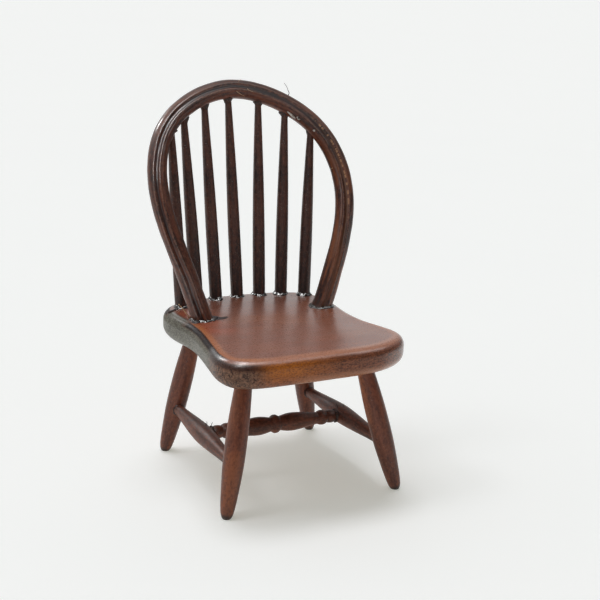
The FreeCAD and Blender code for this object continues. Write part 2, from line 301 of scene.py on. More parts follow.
# ---- finishes ----
# dark, mid, gold and black are the stain's colours; fibre, streak, mottle and zone are the weights of the
# patterns that mix them; the others set contrast, gloss and relief
LEG_LOOK = {
    "dark": (0.072, 0.018, 0.008), "mid": (0.232, 0.063, 0.027), "gold": (0.37, 0.112, 0.038),
    "black": (0.012, 0.008, 0.007), "fibre": 0.5, "streak": 0.3, "mottle": 1.0, "zone": 0.7,
    "contrast": 0.13, "patch_range": (0.50, 0.66), "gold_amount": 0.4, "pores": 0.12, "dust_and_sparkle": 0.35,
    "rough": (0.32, 0.50), "relief": 0.046 * MM, "lump_relief": 0.12 * MM, "specular": 0.36,
    "coat": 0.12, "coat_rough": 0.22, "mottle_scale": (1.9, 1.9, 1.3),
}
STRETCHER_LOOK = {
    **LEG_LOOK, "dark": (0.044, 0.015, 0.009), "mid": (0.225, 0.072, 0.038), "gold": (0.34, 0.14, 0.07),
    "gold_amount": 0.35, "rough": (0.40, 0.55), "coat": 0.05, "coat_rough": 0.4,
}
BOW_LOOK = {
    **LEG_LOOK, "dark": (0.022, 0.006, 0.004), "mid": (0.170, 0.048, 0.022), "gold": (0.31, 0.105, 0.034),
    "fibre": 0.9, "streak": 0.9, "mottle": 0.8, "zone": 0.3, "contrast": 0.10, "gold_amount": 0.25,
    "rough": (0.30, 0.46), "specular": 0.28, "coat": 0.28, "coat_rough": 0.07, "relief": 0.026 * MM,
}
SPINDLE_LOOK = {
    **LEG_LOOK, "dark": (0.022, 0.009, 0.0065), "mid": (0.120, 0.038, 0.021), "gold": (0.19, 0.048, 0.018),
    "gold_amount": 0.5, "rough": (0.34, 0.52), "coat": 0.12, "coat_rough": 0.2, "pores": 0.35, "dust_and_sparkle": 0.85,
}
SEAT_LOOK = {
    **LEG_LOOK, "dark": (0.190, 0.052, 0.024), "mid": (0.375, 0.117, 0.056), "gold": (0.46, 0.17, 0.055),
    "fibre": 0.12, "streak": 0.3, "mottle": 0.9, "zone": 0.3, "contrast": 0.21, "gold_amount": 0.2,
    "pores": 0.0, "dust_and_sparkle": 0.15, "rough": (0.24, 0.38), "lump_relief": 0.05 * MM,
    "specular": 0.6, "coat": 0.35, "coat_rough": 0.24, "mottle_scale": (3.4, 3.4, 2.6),
}
# places where the stain wore thin, lightened further as a painted highlight on the side that faces the
# light: leg, then which way that side faces, how far up the leg in mm it starts and ends, and strength
WORN_AND_HIGHLIT_PLACES = {
    "leg_front_left": (
        (Vector((-0.8, -0.1, 0)), 14.0, 27.0, 0.35),
        (Vector((-0.5, -0.85, 0)), -2.0, 12.0, 0.55),
    ),
    "leg_front_right": ((Vector((-0.88, 0.3, 0)), 13.0, 28.0, 0.95),),
    "leg_rear_left": ((Vector((0.88, -0.48, 0)), 17.0, 28.0, 0.8),),
}
# the spindles' stain is not equally dark
SPINDLE_SHADES = (1.05, 1.05, 1.25, 1.25, 1.25, 1.1, 0.9)
# how far along a leg a worn place with its painted highlight takes to appear and to fade, in mm
WORN_AND_HIGHLIT_RISE, WORN_AND_HIGHLIT_FADE = 6.0, 3.0


def finish_stick(node, axis, look, worn_and_highlit_places=(), painted_foot_shade=False):
    """Gives a straight CAD piece its wood, perhaps worn golden with a painted highlight in places and
    darkened by painted shade at its foot.
    """
    tree = Tree(node + "_finish")
    place = stick_coordinates(tree, *axis)
    pattern = wood_pattern(tree, place, look)
    run = tree.split(place)[2]
    # golden where the stain wore thin, with a painted highlight on the side that faces the light
    for direction, low, high, strength in worn_and_highlit_places:
        normal = tree.add("NewGeometry", "Normal", {})
        amount = tree.times(tree.band(run, low, low + WORN_AND_HIGHLIT_RISE, high, high + WORN_AND_HIGHLIT_FADE),
                            tree.span(tree.facing(normal, direction), 0.35, 0.95),
                            tree.span(pattern["mottle"], 0.36, 0.58, 0.3, strength))
        pattern["colour"] = tree.mix(amount, pattern["colour"], look["gold"])
    # painted shade: the foot darkens towards the floor like a contact shadow
    if painted_foot_shade:
        pattern["colour"] = tree.mix(tree.span(run, 1.5, 0.5, 0.0, 0.85), pattern["colour"], look["black"])
    material = finish_wood(tree, pattern, look, place)
    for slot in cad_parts[node].material_slots:
        slot.material = material


# ---- mesh helpers ----
def make_object(name, vertices, faces, smooth=True):
    """A mesh object from plain lists."""
    mesh = bpy.data.meshes.new(name)
    mesh.from_pydata([tuple(v) for v in vertices], [], faces)
    mesh.validate()
    mesh.polygons.foreach_set("use_smooth", [smooth] * len(mesh.polygons))
    mesh.update()
    made = bpy.data.objects.new(name, mesh)
    scene.collection.objects.link(made)
    return made


def add_piece(piece, material):
    """Gives an extra piece its material and attaches it to the body it rides on."""
    piece.data.materials.append(material)
    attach(piece, BODY)
    return piece


def store(piece, name, values):
    """Writes a value, or a vector, at every vertex of a mesh."""
    values = np.asarray(values, dtype=float)
    kind = "FLOAT_VECTOR" if values.ndim == 2 else "FLOAT"
    field = piece.data.attributes.new(name, kind, "POINT")
    field.data.foreach_set("vector" if values.ndim == 2 else "value", values.ravel())


def ring_faces(rings, sides, closed_rings=False):
    """Quads between rings of equal size, joined all round."""
    faces = []
    for ring in range(rings if closed_rings else rings - 1):
        here, ahead = ring * sides, (ring + 1) % rings * sides
        for side in range(sides):
            beside = (side + 1) % sides
            faces.append((here + side, here + beside, ahead + beside, ahead + side))
    return faces


def capped_faces(rings, sides):
    """Quads between rings of equal size, with one face at each end."""
    faces = ring_faces(rings, sides)
    faces.append(tuple(reversed(range(sides))))
    faces.append(tuple((rings - 1) * sides + side for side in range(sides)))
    return faces


# ---- seat ----
def seat_outline():
    """The seat's plan at its widest level, as evenly spaced points."""
    places = vertices_of("seat")
    low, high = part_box("seat")
    level = places[np.abs(places[:, 2] - (high.z - SEAT_TOP_ROUNDING)) < 0.01 * MM]
    middle = np.array(((low.x + high.x) / 2, (low.y + high.y) / 2))
    angles = np.arctan2(level[:, 1] - middle[1], level[:, 0] - middle[0])
    reach = np.hypot(level[:, 0] - middle[0], level[:, 1] - middle[1])
    bins = np.linspace(-math.pi, math.pi, SEAT_OUTLINE_POINTS + 1)
    place = np.digitize(angles, bins) - 1
    rim = []
    for index in range(SEAT_OUTLINE_POINTS):
        inside = np.flatnonzero(place == index)
        if len(inside):
            rim.append(level[inside[reach[inside].argmax()], :2])
    rim = np.array(rim)
    before, after = np.roll(rim, 1, axis=0), np.roll(rim, -1, axis=0)
    dip = np.hypot(*((before + after) / 2 - middle).T) - np.hypot(*(rim - middle).T)
    rim = rim[dip < 0.25 * MM]
    rim = np.vstack((rim, rim[:1]))
    lengths = np.concatenate(([0], np.cumsum(np.hypot(*np.diff(rim, axis=0).T))))
    steps = np.linspace(0, lengths[-1], SEAT_OUTLINE_POINTS, endpoint=False)
    return np.column_stack([np.interp(steps, lengths, rim[:, axis]) for axis in (0, 1)])


def inward_normals(outline):
    """Unit vectors from a closed outline, walked anticlockwise, towards its inside."""
    ahead = np.roll(outline, -2, axis=0) - np.roll(outline, 2, axis=0)
    ahead /= np.linalg.norm(ahead, axis=1)[:, None]
    return np.column_stack((-ahead[:, 1], ahead[:, 0]))


def seat_profile(high, low):
    """Rows of (distance inwards, height, distance along the surface from where the rounding starts)."""
    rows = []
    for angle in np.radians(np.linspace(90, 0, 13)):
        rows.append((SEAT_TOP_ROUNDING * (1 - math.cos(angle)),
                     high - SEAT_TOP_ROUNDING * (1 - math.sin(angle)),
                     -SEAT_TOP_ROUNDING * (math.pi / 2 - angle)))
    band_low = low + SEAT_BOTTOM_ROUNDING
    band_high = high - SEAT_TOP_ROUNDING
    start = rows[-1][2]
    band = band_high - band_low
    for share in (0.33, 0.67):
        rows.append((0.0, band_high - band * share, start - band * share))
    start -= band
    for angle in np.radians(np.linspace(0, -90, 15)):
        rows.append((SEAT_BOTTOM_ROUNDING * (1 - math.cos(angle)),
                     band_low + SEAT_BOTTOM_ROUNDING * math.sin(angle),
                     start + SEAT_BOTTOM_ROUNDING * angle))
    return rows


def wave(x, y, scale, amount, shift=0.0):
    """A slow unevenness, such as hand sanding leaves."""
    return amount * noise.noise(Vector((x / scale, y / scale, shift)))


def make_seat():
    """The seat plank with its rounded edge and a top that hand sanding left a little uneven."""
    low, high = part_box("seat")
    outline = seat_outline()
    inwards = inward_normals(outline)
    middle = (outline.min(0) + outline.max(0)) / 2
    rings, edge_way = [], []

    def add_ring(plan, height, way):
        """One closed row of the mesh, and its distance along the surface from the rounding."""
        rings.append(np.column_stack((plan, np.full(len(plan), height))))
        edge_way.append(np.full(len(plan), way))

    profile = seat_profile(high.z, low.z)
    top_ring = outline + inwards * profile[0][0]
    following = np.roll(top_ring, -1, axis=0)
    rim = np.vstack([top_ring + (following - top_ring) * share for share in (0.0, 0.25, 0.5, 0.75)])
    for share in np.linspace(0.03, 0.985, SEAT_TOP_ROWS):
        inner = middle + (top_ring - middle) * share
        gap = np.sqrt(((inner[:, None, :] - rim[None, :, :]) ** 2).sum(2)).min(1)
        add_ring(inner, high.z, gap)
    for inset, height, way in profile:
        add_ring(outline + inwards * inset, height, way)
    bottom_ring = rings[-1][:, :2]
    for share in np.linspace(0.95, 0.04, SEAT_BOTTOM_ROWS):
        way = profile[-1][2] - (1 - share) * UNDERSIDE_WAY
        add_ring(middle + (bottom_ring - middle) * share, low.z, way)
    vertices = np.vstack(rings)
    for point in vertices:
        x, y, z = point
        lift = wave(x, y, *TOP_SWELLS) + wave(x, y, *TOP_RIPPLES, 4.0)
        point[2] += lift * (1.0 if z > low.z + 0.5 * MM else 0.3)
        point[0] += wave(x * 0.6 + z, y, *SIDE_SWELLS, 9.0)
    faces = [tuple(reversed(face)) for face in capped_faces(len(rings), len(outline))]
    piece = make_object("seat_plank", vertices, faces)
    store(piece, "grain", np.column_stack((vertices[:, 1], vertices[:, 2] * 1.3, vertices[:, 0])) / MM)
    store(piece, "edge_way", np.concatenate(edge_way) / MM)
    return piece


SEAT_COLOURS = {
    "side_dark": (0.055, 0.017, 0.0085), "side_light": (0.31, 0.100, 0.044), "golden": (0.50, 0.148, 0.018),
    # the front rim's worn orange line is also a painted highlight
    "low_edge": (0.42, 0.175, 0.085), "front_wear_and_highlight": (0.52, 0.185, 0.080), "left_line": (0.56, 0.180, 0.055),
    "red": (0.42, 0.085, 0.030), "black": (0.014, 0.006, 0.005), "under_rim_shade": (0.034, 0.015, 0.011),
    # the greys are a painted sheen of reflected light on the left side
    "sheen_grey_dark": (0.095, 0.094, 0.078), "sheen_grey_light": (0.25, 0.248, 0.205),
    "pitted_dark": (0.018, 0.009, 0.006), "pitted_light": (0.26, 0.135, 0.080),
}


def seat_wood():
    """The seat's finish: mottled red-brown top, worn orange where the edge starts with a painted highlight
    over it at the front, dark stained sides with painted shade and a painted grey sheen along the left one.

    Every mask is in millimetres: right and back from the chair's middle, and edge along the surface from
    where the top's rounding starts, positive on the top and negative down the side.
    """
    look, paint = SEAT_LOOK, SEAT_COLOURS
    tree = Tree("seat_wood_finish")
    span, band, times, mix = tree.span, tree.band, tree.times, tree.mix
    place = tree.attribute("grain", "Vector")
    edge = tree.attribute("edge_way")
    pattern = wood_pattern(tree, place, look)
    back, _, right = tree.split(place)
    grit = tree.noise(place, (3.1, 3.1, 2.2), 3.0, 0.75)
    wobble = tree.noise(place, (0.6, 0.6, 0.35), 3.0, 0.6)
    ray = tree.noise(place, (1.9, 0.7, 1.9), 4.0, 0.75)
    soft_edge = tree.math("ADD", edge, times(tree.math("SUBTRACT", wobble, 0.5), 1.3))
    front = span(back, -17.0, -20.5)
    left_side = times(span(right, -12.5, -15.5), span(back, -25.5, -22.5))
    behind_bow = band(back, 1.5, 4.5, 10.0, 12.0)

    # the rounded edge took the stain more darkly than the top
    side = span(soft_edge, -0.9, -2.6)
    fine = tree.math("ADD", times(pattern["fibre"], 0.35), times(grit, 0.65))
    side_colour = mix(span(fine, 0.38, 0.62), paint["side_dark"], paint["side_light"])
    colour = mix(side, pattern["colour"], side_colour)
    # a golden patch towards the left of the front edge, strongest near its top
    golden = times(front, band(right, -17.5, -12.5, -9.0, 5.0), span(edge, -0.9, -2.0),
                   span(soft_edge, -6.4, -3.4, 0.12, 1.0), span(grit, 0.34, 0.60, 0.30, 1.0))
    colour = mix(golden, colour, paint["golden"])
    low_edge = times(front, span(edge, -4.2, -6.2), span(right, -9.0, -4.0))
    colour = mix(times(low_edge, 0.55), colour, paint["low_edge"])
    # worn lines: where the front's rounding starts, brightened there also as a painted highlight, and just
    # inside the left side's painted dark line
    worn = span(grit, 0.32, 0.60, 0.45, 1.0)
    rim = tree.math("MAXIMUM", span(back, -16.0, -20.5), span(right, 15.0, 18.5))
    front_wear_and_highlight = times(band(edge, 1.2, 0.0, -0.9, -1.7), rim, span(right, -19.5, -15.0))
    colour = mix(times(front_wear_and_highlight, worn, 0.9), colour, paint["front_wear_and_highlight"])
    left_line = times(band(edge, 1.1, 0.2, -0.45, -0.85), span(right, -11.5, -15.0), span(back, 4.0, -1.0))
    colour = mix(times(left_line, worn, 0.85), colour, paint["left_line"])
    # red stain thinly spread in front of and behind the bow's left foot
    thin = times(span(right, -9.0, -13.0), span(back, -10.0, -3.0), span(edge, 0.0, 0.7))
    colour = mix(times(thin, span(wobble, 0.35, 0.60, 0.25, 0.85)), colour, paint["red"])
    # painted shade: a thin black line, standing for the dark reflection where the rounding starts, runs
    # between the top and the left side, as far back as the bow's foot
    painted_dark_rim_line = times(band(edge, -0.45, -0.85, -1.8, -2.3), left_side, span(back, -21.3, -18.5),
                       span(right, -15.5, -17.0), span(behind_bow, 0.0, 1.0, 1.0, 0.0),
                       span(wobble, 0.25, 0.5, 0.75, 1.0))
    colour = mix(painted_dark_rim_line, colour, paint["black"])
    # grey along the left side: a painted sheen of reflected light over its end grain; brown and full of
    # pores round its front corner
    painted_sheen_grey = mix(span(grit, 0.40, 0.62), paint["sheen_grey_dark"], paint["sheen_grey_light"])
    left_sheen_band = tree.math("MAXIMUM", times(left_side, span(edge, -1.6, -2.3), span(back, -18.5, -13.5)),
                         times(left_side, span(edge, 0.2, -0.5), behind_bow))
    colour = mix(times(left_sheen_band, 0.94), colour, painted_sheen_grey)
    corner = times(span(right, -11.0, -17.5), span(back, -11.5, -17.5))
    # painted shade: round the front corner the dark band goes on under the rim's highlight
    colour = mix(times(corner, band(edge, -1.3, -1.8, -2.6, -3.4), 0.85), colour, paint["under_rim_shade"])
    corner = times(corner, span(edge, -2.4, -3.4))
    pitted = tree.math("ADD", times(ray, 0.6), times(grit, 0.4))
    pitted = mix(span(pitted, 0.40, 0.60), paint["pitted_dark"], paint["pitted_light"])
    pattern["colour"] = mix(times(corner, 0.88), colour, pitted)
    pattern["roughness"] = tree.math("ADD", pattern["roughness"], times(left_sheen_band, 0.14))
    # the sides are duller than the top, which is best polished at the back and the right
    rim_band = times(band(edge, -0.5, -0.9, -2.7, -3.4), left_side, span(back, -15.5, -11.0))
    shine = span(rim_band, 0.0, 1.0, 1.0, 0.12)
    pattern["specular"] = times(shine, span(side, 0.0, 1.0, look["specular"], 0.24))
    polish = tree.math("MAXIMUM", span(back, -4.0, 12.0), span(right, -1.0, 13.0))
    side_coat = span(times(side, span(right, 16.0, 10.0)), 0.0, 1.0, 1.0, 0.2)
    pattern["coat"] = times(shine, span(polish, 0.0, 1.0, look["coat"], 1.0), side_coat)
    gritty = times(grit, span(corner, 0.0, 1.0, 0.25, 1.5))
    pattern["height"] = tree.math("ADD", pattern["height"], gritty)
    return finish_wood(tree, pattern, look, place)


# ---- bow ----
def smoothed(points, passes):
    """Points with small unevenness averaged out: each pass smooths, then swells back what that shrank."""
    points = points.copy()
    for _ in range(passes):
        for strength in (0.5, -0.515):
            bend = (points[:-2] + points[2:]) / 2 - points[1:-1]
            points[1:-1] += strength * bend
    return points


def bow_centre_line():
    """The bow's centre line measured on its CAD solid: even stations, the length up to each, its middle."""
    places = vertices_of("bow")
    low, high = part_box("bow")
    seat_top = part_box("seat")[1].z
    feet = places[places[:, 2] < low.z + 2 * MM].mean(0)
    crown = places[places[:, 2] > high.z - 1 * MM].mean(0)
    up = crown - feet
    up[0] = 0
    rise = np.linalg.norm(up)
    up /= rise
    front = np.array((0.0, -up[2], up[1]))
    middle = feet + up * rise * BOW_WIDEST_SHARE
    relative = places - middle
    angle = np.degrees(np.arctan2(relative[:, 0], relative @ up))
    reach = np.hypot(relative[:, 0], relative @ up)
    forward = relative @ front
    centres = []
    for turn in np.arange(-BOW_END_TURN, BOW_END_TURN + 1, 3):
        near = np.abs(angle - turn) < 2.2
        distance = (reach[near].min() + reach[near].max()) / 2
        foot_share = max(0.0, (abs(turn) - BOW_SWELL_TURN) / (BOW_END_TURN - BOW_SWELL_TURN))
        radius = BOW_RADIUS + (BOW_FOOT_RADIUS - BOW_RADIUS) * foot_share
        depth = forward[near].min() + radius
        spoke = math.radians(turn)
        centres.append(middle + np.array((math.sin(spoke) * distance, 0, 0))
                       + up * (math.cos(spoke) * distance) + front * depth)
    centres = smoothed(np.array(centres), 6)
    for end, inner in ((0, 3), (-1, -4)):
        run = centres[end] - centres[inner]
        run /= np.linalg.norm(run)
        step = (centres[end][2] - (seat_top - 2 * MM)) / -run[2]
        tip = centres[end] + run * step
        centres = np.vstack((tip, centres)) if end == 0 else np.vstack((centres, tip))
    lengths = np.concatenate(([0], np.cumsum(np.linalg.norm(np.diff(centres, axis=0), axis=1))))
    steps = np.linspace(0, lengths[-1], BOW_STATIONS)
    line = np.column_stack([np.interp(steps, lengths, centres[:, axis]) for axis in range(3)])
    return smoothed(line, 30), steps, middle


def bow_directions(centre, tangent, middle):
    """At a point of the bow's centre line, the directions away from the bow's middle and to its front."""
    outward = centre - np.array((middle[0], centre[1], middle[2]))
    outward -= tangent * (outward @ tangent)
    outward /= np.linalg.norm(outward)
    front = np.cross(tangent, outward)
    return outward, front if front[1] < 0 else -front


def make_bow(line, steps, middle):
    """The bent bow: a round stick with a soft groove and a fine scratch beside it."""
    tangents = np.gradient(line, axis=0)
    tangents /= np.linalg.norm(tangents, axis=1)[:, None]
    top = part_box("seat")[1].z
    crown = line[:, 2].max()
    vertices, grain, grooves, lips, across = [], [], [], [], []
    width = math.radians(GROOVE_WIDTH_DEG)
    turn_shares, turn_degrees = zip(*GROOVE_TURNS)
    for index, (centre, tangent) in enumerate(zip(line, tangents)):
        share = index / (len(line) - 1)
        outward, front = bow_directions(centre, tangent, middle)
        rise = np.clip((centre[2] - top) / (0.35 * (crown - top)), 0, 1)
        radius = BOW_FOOT_RADIUS + (BOW_RADIUS - BOW_FOOT_RADIUS) * rise
        turn = math.radians(np.interp(share, turn_shares, turn_degrees))
        sway = GROOVE_SWAY * noise.noise(Vector((share * 14, 0.3, 0)))
        depth = GROOVE_DEPTH * (1 + GROOVE_DEPTH_CHANGE * noise.noise(Vector((share * 14, 5.1, 0))))
        scratch_sway = SCRATCH_SWAY * noise.noise(Vector((share * 16, 2.2, 0)))
        scratch = turn - math.radians(SCRATCH_OFFSET_DEG) + scratch_sway
        for side in range(BOW_SIDES):
            angle = 2 * math.pi * side / BOW_SIDES
            from_groove = (angle - turn - sway + math.pi) % (2 * math.pi) - math.pi
            from_scratch = (angle - scratch + math.pi) % (2 * math.pi) - math.pi
            groove = math.exp(-(abs(from_groove / width) ** 3))
            lip = math.exp(-(((abs(from_groove) / width - LIP_PLACE) / LIP_WIDTH) ** 2))
            line_cut = math.exp(-((from_scratch / math.radians(SCRATCH_WIDTH_DEG)) ** 2))
            rough = noise.noise(Vector((share * 60, math.cos(angle) * 2, math.sin(angle) * 2)))
            reach = radius + LIP_HEIGHT * lip - depth * groove - SCRATCH_DEPTH * line_cut
            reach += BOW_GRAIN_RELIEF * rough
            direction = front * math.cos(angle) + outward * math.sin(angle)
            vertices.append(centre + direction * reach)
            grain.append((math.cos(angle) * radius / MM, math.sin(angle) * radius / MM, steps[index] / MM))
            grooves.append(groove + 0.6 * line_cut)
            lips.append(lip)
            across.append(math.degrees(from_groove))
    piece = make_object("bow_stick", vertices, capped_faces(len(line), BOW_SIDES))
    piece.data.flip_normals()
    for name, values in (("grain", grain), ("groove", grooves), ("lip", lips), ("across", across)):
        store(piece, name, values)
    return piece


def on_bow(index, degrees, lift):
    """A point over the bow's skin: station, degrees from its front towards the outside, and mm above it."""
    centre = bow_line[index]
    tangent = bow_line[index + 1] - bow_line[index - 1]
    tangent /= np.linalg.norm(tangent)
    outward, front = bow_directions(centre, tangent, bow_middle)
    angle = math.radians(degrees)
    return Vector(centre + (front * math.cos(angle) + outward * math.sin(angle)) * (BOW_RADIUS + lift * MM))


BOW_COLOURS = {
    "groove_shade_dark": (0.020, 0.005, 0.004), "pool_red": (0.085, 0.018, 0.007),
    # the dash colour is a painted highlight: glints along the bow's groove at its upper right
    "pool_golden": (0.24, 0.085, 0.024), "worn_lip": (0.21, 0.095, 0.052), "painted_glint_dashes": (0.48, 0.23, 0.10),
}


def bow_wood():
    """The bow's finish: dark, with red-brown stain pooled in the groove, darkened there further as painted
    shade, and worn lips beside it.

    The masks along the bow are in millimetres from its left foot.
    """
    look, paint = BOW_LOOK, BOW_COLOURS
    tree = Tree("bow_wood_finish")
    span, band, times, mix = tree.span, tree.band, tree.times, tree.mix
    place = tree.attribute("grain", "Vector")
    pattern = wood_pattern(tree, place, look)
    groove, lip, across = (tree.attribute(name) for name in ("groove", "lip", "across"))
    run = tree.split(place)[2]
    # the stain wore thin and golden down the right-hand side
    right_side = span(run, 80.0, 104.0)
    thin = times(right_side, span(pattern["streak"], 0.46, 0.64, 0.0, 0.40))
    colour = mix(thin, pattern["colour"], look["gold"])
    # the groove: red-brown pooled stain, and painted shade darkening its middle
    pooled_stain_and_shade = mix(span(pattern["patch"], 0.42, 0.6), paint["groove_shade_dark"], paint["pool_red"])
    pooled_stain_and_shade = mix(times(right_side, 0.45), pooled_stain_and_shade, paint["pool_golden"])
    colour = mix(span(groove, 0.35, 0.9, 0.0, 0.85), colour, pooled_stain_and_shade)
    worn = times(span(lip, 0.3, 0.95), span(pattern["mottle"], 0.45, 0.62, 0.05, 0.6))
    colour = mix(worn, colour, paint["worn_lip"])
    # at the upper right, painted highlight: light dashes of glint along the groove's outer wall
    painted_glint_dashes = span(tree.noise(place, (0.3, 0.3, 2.1), 1.0, 0.4), 0.46, 0.56)
    painted_glint_dashes = times(painted_glint_dashes, band(across, 6.0, 9.0, 13.0, 17.0), band(run, 83.0, 87.0, 100.0, 112.0))
    pattern["colour"] = mix(times(painted_glint_dashes, 0.8), colour, paint["painted_glint_dashes"])
    # varnish gathered in the groove and on its lips
    gathered = span(tree.math("MAXIMUM", lip, groove), 0.2, 0.8, look["coat"], 1.0)
    pattern["coat"] = times(gathered, span(run, 75.0, 100.0, 1.0, 0.5))
    return finish_wood(tree, pattern, look, place)


# ---- dried glue ----
def glue_finish():
    """Dried glue stained almost black, glossy and slightly dusty."""
    tree = Tree("glue_finish")
    place = object_coordinates(tree)
    blotch = tree.noise(place, (2.2, 2.2, 2.2), 3.0, 0.6)
    share = tree.span(blotch, 0.4, 0.65)
    tree.put("Base Color", tree.mix(share, (0.010, 0.007, 0.006), (0.035, 0.022, 0.018)))
    tree.put("Roughness", tree.span(blotch, 0.35, 0.65, 0.10, 0.30))
    tree.put("Normal", tree.bump(blotch, 0.12 * MM))
    tree.put("Coat Weight", 0.6)
    tree.put("Coat Roughness", 0.08)
    return tree.owner


def glue_ring(name, kind, number, foot, axis, ground):
    """A bead of glue round a stick where it enters a surface whose normal is ground."""
    first_seed, sizes = GLUE_RINGS[kind]
    radius, width, height = (size * MM for size in sizes)
    chance = random.Random(first_seed + number)
    shifts = [chance.uniform(0, 50) for _ in range(3)]
    side = axis.orthogonal().normalized()
    other = axis.cross(side).normalized()
    sides, rows = 64, 12
    vertices = []
    for index in range(sides):
        angle = 2 * math.pi * index / sides
        out = side * math.cos(angle) + other * math.sin(angle)
        spot = Vector((math.cos(angle) * 1.6, math.sin(angle) * 1.6, shifts[0]))
        spread = width * max(0.25, 1 + 0.9 * noise.noise(spot))
        climb = height * max(0.25, 1 + 1.0 * noise.noise(spot + Vector((0, 0, shifts[1]))))
        base = foot + out * radius
        base -= axis * ((base - foot).dot(ground) / axis.dot(ground))
        flat = (out - ground * out.dot(ground)).normalized()
        for row in range(rows):
            turn = 2 * math.pi * row / rows
            bulge = 1 + 0.16 * noise.noise(Vector((angle * 3, turn * 1.5, shifts[2])))
            along = math.cos(turn) * spread * bulge
            rise = math.sin(turn) * climb * bulge
            if along > 0 and rise > 0:
                pinch = 1 - 0.30 * math.sin(2 * turn)
                along *= pinch
                rise *= pinch
            vertices.append(base + flat * along + axis * rise)
    return make_object(name, vertices, ring_faces(sides, rows, closed_rings=True))


def glue_drop(name, centre, along, ground, size, seed):
    """A dried drop of glue: an uneven ellipsoid half sunk in a surface whose normal is ground."""
    shift = random.Random(seed).uniform(0, 50)
    along = (along - ground * along.dot(ground)).normalized()
    across = ground.cross(along)
    sides, rows = 36, 18
    vertices = []
    for row in range(rows):
        lift = -math.pi / 2 + math.pi * (row + 0.5) / rows
        for side in range(sides):
            turn = 2 * math.pi * side / sides
            spot = Vector((math.cos(turn) * math.cos(lift), math.sin(turn) * math.cos(lift), math.sin(lift)))
            spot *= 1 + 0.45 * noise.noise(spot * 1.7 + Vector((shift, 0, 0)))
            vertices.append(centre + along * (spot.x * size[0]) + across * (spot.y * size[1])
                            + ground * (spot.z * size[2]))
    return make_object(name, vertices, capped_faces(rows, sides))


def sliver(name, points, radius):
    """A splinter or a fibre: a thin tapering stick through a few points."""
    sides = 8
    steps = np.linspace(0, len(points) - 1, 8 * len(points))
    knots = np.arange(len(points))
    line = np.column_stack([np.interp(steps, knots, [point[axis] for point in points]) for axis in range(3)])
    line = smoothed(line, 6)
    vertices = []
    for index, centre in enumerate(line):
        ahead = Vector(line[min(index + 1, len(line) - 1)] - line[max(index - 1, 0)]).normalized()
        side = ahead.orthogonal().normalized()
        other = ahead.cross(side)
        share = index / (len(line) - 1)
        thick = radius * (1 - 0.6 * share) * (0.8 + 0.3 * noise.noise(Vector((share * 7, radius / MM, 0))))
        for number in range(sides):
            turn = 2 * math.pi * number / sides
            vertices.append(Vector(centre) + (side * math.cos(turn) + other * math.sin(turn)) * thick)
    return make_object(name, vertices, capped_faces(len(line), sides))


def scrap_finish(name, dark, light, roughness):
    """A finish for small scraps: bare splinters, fibres and pale dried glue."""
    tree = Tree(name)
    place = object_coordinates(tree)
    blotch = tree.noise(place, (3.0, 3.0, 3.0), 3.0, 0.6)
    tree.put("Base Color", tree.mix(tree.span(blotch, 0.38, 0.62), dark, light))
    tree.put("Roughness", tree.span(blotch, 0.3, 0.7, roughness, roughness + 0.2))
    tree.put("Normal", tree.bump(blotch, 0.08 * MM))
    return tree.owner


def entry_point(axis, other, radius):
    """Where an axis enters a stick of a given radius round another axis, and the way out along it."""
    near, _ = geometry.intersect_line_line(*axis, *other)
    outward = ((axis[0] + axis[1]) / 2 - near).normalized()
    return near + outward * radius, outward


# ---- camera, floor and light ----
CAMERA_TURN_DEG = -28.46
CAMERA_RISE_DEG = 16.53
CAMERA_ROLL_DEG = 2.746
CAMERA_DISTANCE = 266.58 * MM
CAMERA_LENS_MM = 76.526
# from the middle of the chair's box to the middle of the view
AIM_OFFSET = Vector((4.823, -3.019, -2.627)) * MM


def aimed(name, data, axes, spot):
    """A camera or a light at a spot, with axes that point right, up and back."""
    made = bpy.data.objects.new(name, data)
    scene.collection.objects.link(made)
    place = Matrix(axes).transposed().to_4x4()
    place.translation = spot
    made.matrix_world = place
    return made


def add_camera():
    """The camera, to the front left of the chair and a little above it."""
    turn, rise, roll = (math.radians(a) for a in (CAMERA_TURN_DEG, CAMERA_RISE_DEG, CAMERA_ROLL_DEG))
    back = Vector((math.sin(turn) * math.cos(rise), -math.cos(turn) * math.cos(rise), math.sin(rise)))
    level = Vector((math.cos(turn), math.sin(turn), 0))
    upright = back.cross(level)
    right = level * math.cos(roll) + upright * math.sin(roll)
    up = upright * math.cos(roll) - level * math.sin(roll)
    data = bpy.data.cameras.new("camera")
    data.lens = CAMERA_LENS_MM
    data.clip_start = 0.01
    data.clip_end = 50
    spot = (cad_low + cad_high) / 2 + AIM_OFFSET + back * CAMERA_DISTANCE
    scene.camera = aimed("camera", data, (right, up, back), spot)


FLOOR_HALF_SIZE = 20.0
FLOOR_GLOW = 0.314
FLOOR_GLOW_COLOUR = (0.970, 0.990, 0.86)
FLOOR_COLOUR = (0.796, 0.804, 0.846)
WORLD_DIM = 0.12
WORLD_BRIGHT = 0.66
WORLD_BRIGHT_SIDE = Vector((-0.42, 0.90, 0.10))
# overhead lights: direction, share of the floor's brightness and how wide they look, in degrees
KEYS = (
    (Vector((0.02, 0.20, 0.97)), 0.255, 20),
    (Vector((-0.28, 0.20, 0.94)), 0.055, 15),
    (Vector((-0.55, 0.20, 0.82)), 0.075, 15),
)
# lights seen only in reflections: direction, which way their long side runs, size in mm and power
GLINTS = (
    (Vector((-0.26, -0.25, 0.93)), Vector((0.59, 0.43, 0.28)), (420, 40), 1.9),
    (Vector((-0.32, 0.74, 0.58)), Vector((1.0, 0.0, 0.0)), (70, 70), 0.5),
    (Vector((0.46, -0.26, 0.82)), Vector((1.0, 0.0, -0.5)), (300, 160), 0.35),
)
GLINT_DISTANCE = 400 * MM


